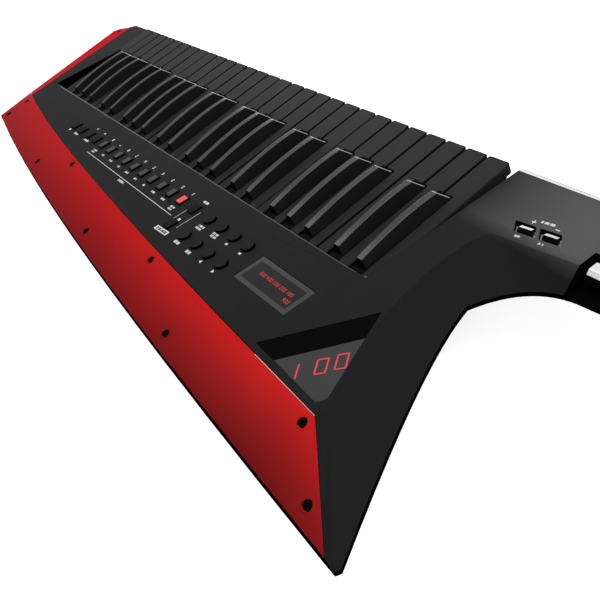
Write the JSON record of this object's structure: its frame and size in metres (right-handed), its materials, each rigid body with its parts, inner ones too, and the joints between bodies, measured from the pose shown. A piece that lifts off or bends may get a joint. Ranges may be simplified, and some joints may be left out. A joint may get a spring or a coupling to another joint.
{
  "type": "keytar",
  "caption": "Shoulder keyboard with a slim neck, a swept horn, glossy blades along its rear edge and end, tilted dark keys, button rows and two display windows.",
  "frame": {"origin": "under the middle of the bounding box, on the flat back that the instrument lies on", "axes": "+X from the neck's tip to the treble end, +Y from the keys' fronts to the horn's tip, +Z out of the control panel"},
  "size_m": [1.252, 0.3082, 0.0814],
  "materials": {
    "panel": "matte charcoal",
    "shell": "matte black",
    "blade": "glossy red that darkens towards the outer edge",
    "naturals": "matte dark grey",
    "sharps": "glossy black",
    "frame": "black moulding",
    "lens": "smoked gloss with red figures behind it",
    "caps": "matte rubbery black",
    "bar": "silver paint"
  },
  "bodies": {
    "case": {"upper_case": "panel", "lower_case": "shell", "long_blade": "blade", "end_blade": "blade", "key_frame": "frame", "display_lens": "lens"},
    "modulation_bar": {"modulation_bar": "bar"},
    "volume_knob": {"volume_knob": "caps"},
    "tone_buttons": {"tone_buttons": "caps"},
    "menu_buttons": {"menu_buttons": "caps"},
    "octave_buttons": {"octave_buttons": "caps"},
    "key_c_1": {"key_c_1": "naturals"},
    "key_c_sharp_1": {"key_c_sharp_1": "sharps"},
    "key_d_1": {"key_d_1": "naturals"},
    "key_d_sharp_1": {"key_d_sharp_1": "sharps"},
    "key_e_1": {"key_e_1": "naturals"},
    "key_f_1": {"key_f_1": "naturals"},
    "key_f_sharp_1": {"key_f_sharp_1": "sharps"},
    "key_g_1": {"key_g_1": "naturals"},
    "key_g_sharp_1": {"key_g_sharp_1": "sharps"},
    "key_a_1": {"key_a_1": "naturals"},
    "key_a_sharp_1": {"key_a_sharp_1": "sharps"},
    "key_b_1": {"key_b_1": "naturals"},
    "key_c_2": {"key_c_2": "naturals"},
    "key_c_sharp_2": {"key_c_sharp_2": "sharps"},
    "key_d_2": {"key_d_2": "naturals"},
    "key_d_sharp_2": {"key_d_sharp_2": "sharps"},
    "key_e_2": {"key_e_2": "naturals"},
    "key_f_2": {"key_f_2": "naturals"},
    "key_f_sharp_2": {"key_f_sharp_2": "sharps"},
    "key_g_2": {"key_g_2": "naturals"},
    "key_g_sharp_2": {"key_g_sharp_2": "sharps"},
    "key_a_2": {"key_a_2": "naturals"},
    "key_a_sharp_2": {"key_a_sharp_2": "sharps"},
    "key_b_2": {"key_b_2": "naturals"},
    "key_c_3": {"key_c_3": "naturals"},
    "key_c_sharp_3": {"key_c_sharp_3": "sharps"},
    "key_d_3": {"key_d_3": "naturals"},
    "key_d_sharp_3": {"key_d_sharp_3": "sharps"},
    "key_e_3": {"key_e_3": "naturals"},
    "key_f_3": {"key_f_3": "naturals"},
    "key_f_sharp_3": {"key_f_sharp_3": "sharps"},
    "key_g_3": {"key_g_3": "naturals"},
    "key_g_sharp_3": {"key_g_sharp_3": "sharps"},
    "key_a_3": {"key_a_3": "naturals"},
    "key_a_sharp_3": {"key_a_sharp_3": "sharps"},
    "key_b_3": {"key_b_3": "naturals"},
    "key_c_4": {"key_c_4": "naturals"},
    "key_c_sharp_4": {"key_c_sharp_4": "sharps"},
    "key_d_4": {"key_d_4": "naturals"},
    "key_d_sharp_4": {"key_d_sharp_4": "sharps"},
    "key_e_4": {"key_e_4": "naturals"},
    "key_f_4": {"key_f_4": "naturals"},
    "key_f_sharp_4": {"key_f_sharp_4": "sharps"},
    "key_g_4": {"key_g_4": "naturals"},
    "key_g_sharp_4": {"key_g_sharp_4": "sharps"},
    "key_a_4": {"key_a_4": "naturals"},
    "key_a_sharp_4": {"key_a_sharp_4": "sharps"},
    "key_b_4": {"key_b_4": "naturals"},
    "key_c_5": {"key_c_5": "naturals"}
  },
  "joints": [
    {"name": "modulation_bar_rock", "type": "hinge", "parent": "case", "child": "modulation_bar", "pos_m": [-0.382, -0.09515, 0.0598], "axis": [1, 0, 0], "range_deg": [0, 8], "stiffness_Nm_per_rad": 0.5, "springref_deg": -11.46},
    {"name": "volume_knob_turn", "type": "hinge", "parent": "case", "child": "volume_knob", "pos_m": [-0.567, -0.12735, 0.0704], "axis": [0, 0, 1], "range_deg": [-150, 150]},
    {"name": "tone_buttons_press", "type": "slide", "parent": "case", "child": "tone_buttons", "axis": [0, 0, -1], "range_m": [0, 0.0008], "stiffness_N_per_m": 800, "springref_m": -0.00125},
    {"name": "menu_buttons_press", "type": "slide", "parent": "case", "child": "menu_buttons", "axis": [0, 0, -1], "range_m": [0, 0.0008], "stiffness_N_per_m": 800, "springref_m": -0.00125},
    {"name": "octave_buttons_press", "type": "slide", "parent": "case", "child": "octave_buttons", "axis": [0, 0, -1], "range_m": [0, 0.0008], "stiffness_N_per_m": 800, "springref_m": -0.00125},
    {"name": "key_c_1_press", "type": "hinge", "parent": "case", "child": "key_c_1", "pos_m": [-0.1472, 0.0198, 0.05339], "axis": [1, 0, 0], "range_deg": [0, 3.5], "stiffness_Nm_per_rad": 0.35, "springref_deg": -20.05},
    {"name": "key_c_sharp_1_press", "type": "hinge", "parent": "case", "child": "key_c_sharp_1", "pos_m": [-0.138, 0.0198, 0.05339], "axis": [1, 0, 0], "range_deg": [0, 4.2], "stiffness_Nm_per_rad": 0.28, "springref_deg": -20.05},
    {"name": "key_d_1_press", "type": "hinge", "parent": "case", "child": "key_d_1", "pos_m": [-0.1236, 0.0198, 0.05339], "axis": [1, 0, 0], "range_deg": [0, 3.5], "stiffness_Nm_per_rad": 0.35, "springref_deg": -20.05},
    {"name": "key_d_sharp_1_press", "type": "hinge", "parent": "case", "child": "key_d_sharp_1", "pos_m": [-0.1092, 0.0198, 0.05339], "axis": [1, 0, 0], "range_deg": [0, 4.2], "stiffness_Nm_per_rad": 0.28, "springref_deg": -20.05},
    {"name": "key_e_1_press", "type": "hinge", "parent": "case", "child": "key_e_1", "pos_m": [-0.1, 0.0198, 0.05339], "axis": [1, 0, 0], "range_deg": [0, 3.5], "stiffness_Nm_per_rad": 0.35, "springref_deg": -20.05},
    {"name": "key_f_1_press", "type": "hinge", "parent": "case", "child": "key_f_1", "pos_m": [-0.0764, 0.0198, 0.05339], "axis": [1, 0, 0], "range_deg": [0, 3.5], "stiffness_Nm_per_rad": 0.35, "springref_deg": -20.05},
    {"name": "key_f_sharp_1_press", "type": "hinge", "parent": "case", "child": "key_f_sharp_1", "pos_m": [-0.0682, 0.0198, 0.05339], "axis": [1, 0, 0], "range_deg": [0, 4.2], "stiffness_Nm_per_rad": 0.28, "springref_deg": -20.05},
    {"name": "key_g_1_press", "type": "hinge", "parent": "case", "child": "key_g_1", "pos_m": [-0.0528, 0.0198, 0.05339], "axis": [1, 0, 0], "range_deg": [0, 3.5], "stiffness_Nm_per_rad": 0.35, "springref_deg": -20.05},
    {"name": "key_g_sharp_1_press", "type": "hinge", "parent": "case", "child": "key_g_sharp_1", "pos_m": [-0.041, 0.0198, 0.05339], "axis": [1, 0, 0], "range_deg": [0, 4.2], "stiffness_Nm_per_rad": 0.28, "springref_deg": -20.05},
    {"name": "key_a_1_press", "type": "hinge", "parent": "case", "child": "key_a_1", "pos_m": [-0.0292, 0.0198, 0.05339], "axis": [1, 0, 0], "range_deg": [0, 3.5], "stiffness_Nm_per_rad": 0.35, "springref_deg": -20.05},
    {"name": "key_a_sharp_1_press", "type": "hinge", "parent": "case", "child": "key_a_sharp_1", "pos_m": [-0.0138, 0.0198, 0.05339], "axis": [1, 0, 0], "range_deg": [0, 4.2], "stiffness_Nm_per_rad": 0.28, "springref_deg": -20.05},
    {"name": "key_b_1_press", "type": "hinge", "parent": "case", "child": "key_b_1", "pos_m": [-0.0056, 0.0198, 0.05339], "axis": [1, 0, 0], "range_deg": [0, 3.5], "stiffness_Nm_per_rad": 0.35, "springref_deg": -20.05},
    {"name": "key_c_2_press", "type": "hinge", "parent": "case", "child": "key_c_2", "pos_m": [0.018, 0.0198, 0.05339], "axis": [1, 0, 0], "range_deg": [0, 3.5], "stiffness_Nm_per_rad": 0.35, "springref_deg": -20.05},
    {"name": "key_c_sharp_2_press", "type": "hinge", "parent": "case", "child": "key_c_sharp_2", "pos_m": [0.0272, 0.0198, 0.05339], "axis": [1, 0, 0], "range_deg": [0, 4.2], "stiffness_Nm_per_rad": 0.28, "springref_deg": -20.05},
    {"name": "key_d_2_press", "type": "hinge", "parent": "case", "child": "key_d_2", "pos_m": [0.0416, 0.0198, 0.05339], "axis": [1, 0, 0], "range_deg": [0, 3.5], "stiffness_Nm_per_rad": 0.35, "springref_deg": -20.05},
    {"name": "key_d_sharp_2_press", "type": "hinge", "parent": "case", "child": "key_d_sharp_2", "pos_m": [0.056, 0.0198, 0.05339], "axis": [1, 0, 0], "range_deg": [0, 4.2], "stiffness_Nm_per_rad": 0.28, "springref_deg": -20.05},
    {"name": "key_e_2_press", "type": "hinge", "parent": "case", "child": "key_e_2", "pos_m": [0.0652, 0.0198, 0.05339], "axis": [1, 0, 0], "range_deg": [0, 3.5], "stiffness_Nm_per_rad": 0.35, "springref_deg": -20.05},
    {"name": "key_f_2_press", "type": "hinge", "parent": "case", "child": "key_f_2", "pos_m": [0.0888, 0.0198, 0.05339], "axis": [1, 0, 0], "range_deg": [0, 3.5], "stiffness_Nm_per_rad": 0.35, "springref_deg": -20.05},
    {"name": "key_f_sharp_2_press", "type": "hinge", "parent": "case", "child": "key_f_sharp_2", "pos_m": [0.097, 0.0198, 0.05339], "axis": [1, 0, 0], "range_deg": [0, 4.2], "stiffness_Nm_per_rad": 0.28, "springref_deg": -20.05},
    {"name": "key_g_2_press", "type": "hinge", "parent": "case", "child": "key_g_2", "pos_m": [0.1124, 0.0198, 0.05339], "axis": [1, 0, 0], "range_deg": [0, 3.5], "stiffness_Nm_per_rad": 0.35, "springref_deg": -20.05},
    {"name": "key_g_sharp_2_press", "type": "hinge", "parent": "case", "child": "key_g_sharp_2", "pos_m": [0.1242, 0.0198, 0.05339], "axis": [1, 0, 0], "range_deg": [0, 4.2], "stiffness_Nm_per_rad": 0.28, "springref_deg": -20.05},
    {"name": "key_a_2_press", "type": "hinge", "parent": "case", "child": "key_a_2", "pos_m": [0.136, 0.0198, 0.05339], "axis": [1, 0, 0], "range_deg": [0, 3.5], "stiffness_Nm_per_rad": 0.35, "springref_deg": -20.05},
    {"name": "key_a_sharp_2_press", "type": "hinge", "parent": "case", "child": "key_a_sharp_2", "pos_m": [0.1514, 0.0198, 0.05339], "axis": [1, 0, 0], "range_deg": [0, 4.2], "stiffness_Nm_per_rad": 0.28, "springref_deg": -20.05},
    {"name": "key_b_2_press", "type": "hinge", "parent": "case", "child": "key_b_2", "pos_m": [0.1596, 0.0198, 0.05339], "axis": [1, 0, 0], "range_deg": [0, 3.5], "stiffness_Nm_per_rad": 0.35, "springref_deg": -20.05},
    {"name": "key_c_3_press", "type": "hinge", "parent": "case", "child": "key_c_3", "pos_m": [0.1832, 0.0198, 0.05339], "axis": [1, 0, 0], "range_deg": [0, 3.5], "stiffness_Nm_per_rad": 0.35, "springref_deg": -20.05},
    {"name": "key_c_sharp_3_press", "type": "hinge", "parent": "case", "child": "key_c_sharp_3", "pos_m": [0.1924, 0.0198, 0.05339], "axis": [1, 0, 0], "range_deg": [0, 4.2], "stiffness_Nm_per_rad": 0.28, "springref_deg": -20.05},
    {"name": "key_d_3_press", "type": "hinge", "parent": "case", "child": "key_d_3", "pos_m": [0.2068, 0.0198, 0.05339], "axis": [1, 0, 0], "range_deg": [0, 3.5], "stiffness_Nm_per_rad": 0.35, "springref_deg": -20.05},
    {"name": "key_d_sharp_3_press", "type": "hinge", "parent": "case", "child": "key_d_sharp_3", "pos_m": [0.2212, 0.0198, 0.05339], "axis": [1, 0, 0], "range_deg": [0, 4.2], "stiffness_Nm_per_rad": 0.28, "springref_deg": -20.05},
    {"name": "key_e_3_press", "type": "hinge", "parent": "case", "child": "key_e_3", "pos_m": [0.2304, 0.0198, 0.05339], "axis": [1, 0, 0], "range_deg": [0, 3.5], "stiffness_Nm_per_rad": 0.35, "springref_deg": -20.05},
    {"name": "key_f_3_press", "type": "hinge", "parent": "case", "child": "key_f_3", "pos_m": [0.254, 0.0198, 0.05339], "axis": [1, 0, 0], "range_deg": [0, 3.5], "stiffness_Nm_per_rad": 0.35, "springref_deg": -20.05},
    {"name": "key_f_sharp_3_press", "type": "hinge", "parent": "case", "child": "key_f_sharp_3", "pos_m": [0.2622, 0.0198, 0.05339], "axis": [1, 0, 0], "range_deg": [0, 4.2], "stiffness_Nm_per_rad": 0.28, "springref_deg": -20.05},
    {"name": "key_g_3_press", "type": "hinge", "parent": "case", "child": "key_g_3", "pos_m": [0.2776, 0.0198, 0.05339], "axis": [1, 0, 0], "range_deg": [0, 3.5], "stiffness_Nm_per_rad": 0.35, "springref_deg": -20.05},
    {"name": "key_g_sharp_3_press", "type": "hinge", "parent": "case", "child": "key_g_sharp_3", "pos_m": [0.2894, 0.0198, 0.05339], "axis": [1, 0, 0], "range_deg": [0, 4.2], "stiffness_Nm_per_rad": 0.28, "springref_deg": -20.05},
    {"name": "key_a_3_press", "type": "hinge", "parent": "case", "child": "key_a_3", "pos_m": [0.3012, 0.0198, 0.05339], "axis": [1, 0, 0], "range_deg": [0, 3.5], "stiffness_Nm_per_rad": 0.35, "springref_deg": -20.05},
    {"name": "key_a_sharp_3_press", "type": "hinge", "parent": "case", "child": "key_a_sharp_3", "pos_m": [0.3166, 0.0198, 0.05339], "axis": [1, 0, 0], "range_deg": [0, 4.2], "stiffness_Nm_per_rad": 0.28, "springref_deg": -20.05},
    {"name": "key_b_3_press", "type": "hinge", "parent": "case", "child": "key_b_3", "pos_m": [0.3248, 0.0198, 0.05339], "axis": [1, 0, 0], "range_deg": [0, 3.5], "stiffness_Nm_per_rad": 0.35, "springref_deg": -20.05},
    {"name": "key_c_4_press", "type": "hinge", "parent": "case", "child": "key_c_4", "pos_m": [0.3484, 0.0198, 0.05339], "axis": [1, 0, 0], "range_deg": [0, 3.5], "stiffness_Nm_per_rad": 0.35, "springref_deg": -20.05},
    {"name": "key_c_sharp_4_press", "type": "hinge", "parent": "case", "child": "key_c_sharp_4", "pos_m": [0.3576, 0.0198, 0.05339], "axis": [1, 0, 0], "range_deg": [0, 4.2], "stiffness_Nm_per_rad": 0.28, "springref_deg": -20.05},
    {"name": "key_d_4_press", "type": "hinge", "parent": "case", "child": "key_d_4", "pos_m": [0.372, 0.0198, 0.05339], "axis": [1, 0, 0], "range_deg": [0, 3.5], "stiffness_Nm_per_rad": 0.35, "springref_deg": -20.05},
    {"name": "key_d_sharp_4_press", "type": "hinge", "parent": "case", "child": "key_d_sharp_4", "pos_m": [0.3864, 0.0198, 0.05339], "axis": [1, 0, 0], "range_deg": [0, 4.2], "stiffness_Nm_per_rad": 0.28, "springref_deg": -20.05},
    {"name": "key_e_4_press", "type": "hinge", "parent": "case", "child": "key_e_4", "pos_m": [0.3956, 0.0198, 0.05339], "axis": [1, 0, 0], "range_deg": [0, 3.5], "stiffness_Nm_per_rad": 0.35, "springref_deg": -20.05},
    {"name": "key_f_4_press", "type": "hinge", "parent": "case", "child": "key_f_4", "pos_m": [0.4192, 0.0198, 0.05339], "axis": [1, 0, 0], "range_deg": [0, 3.5], "stiffness_Nm_per_rad": 0.35, "springref_deg": -20.05},
    {"name": "key_f_sharp_4_press", "type": "hinge", "parent": "case", "child": "key_f_sharp_4", "pos_m": [0.4274, 0.0198, 0.05339], "axis": [1, 0, 0], "range_deg": [0, 4.2], "stiffness_Nm_per_rad": 0.28, "springref_deg": -20.05},
    {"name": "key_g_4_press", "type": "hinge", "parent": "case", "child": "key_g_4", "pos_m": [0.4428, 0.0198, 0.05339], "axis": [1, 0, 0], "range_deg": [0, 3.5], "stiffness_Nm_per_rad": 0.35, "springref_deg": -20.05},
    {"name": "key_g_sharp_4_press", "type": "hinge", "parent": "case", "child": "key_g_sharp_4", "pos_m": [0.4546, 0.0198, 0.05339], "axis": [1, 0, 0], "range_deg": [0, 4.2], "stiffness_Nm_per_rad": 0.28, "springref_deg": -20.05},
    {"name": "key_a_4_press", "type": "hinge", "parent": "case", "child": "key_a_4", "pos_m": [0.4664, 0.0198, 0.05339], "axis": [1, 0, 0], "range_deg": [0, 3.5], "stiffness_Nm_per_rad": 0.35, "springref_deg": -20.05},
    {"name": "key_a_sharp_4_press", "type": "hinge", "parent": "case", "child": "key_a_sharp_4", "pos_m": [0.4818, 0.0198, 0.05339], "axis": [1, 0, 0], "range_deg": [0, 4.2], "stiffness_Nm_per_rad": 0.28, "springref_deg": -20.05},
    {"name": "key_b_4_press", "type": "hinge", "parent": "case", "child": "key_b_4", "pos_m": [0.49, 0.0198, 0.05339], "axis": [1, 0, 0], "range_deg": [0, 3.5], "stiffness_Nm_per_rad": 0.35, "springref_deg": -20.05},
    {"name": "key_c_5_press", "type": "hinge", "parent": "case", "child": "key_c_5", "pos_m": [0.5136, 0.0198, 0.05339], "axis": [1, 0, 0], "range_deg": [0, 3.5], "stiffness_Nm_per_rad": 0.35, "springref_deg": -20.05}
  ]
}
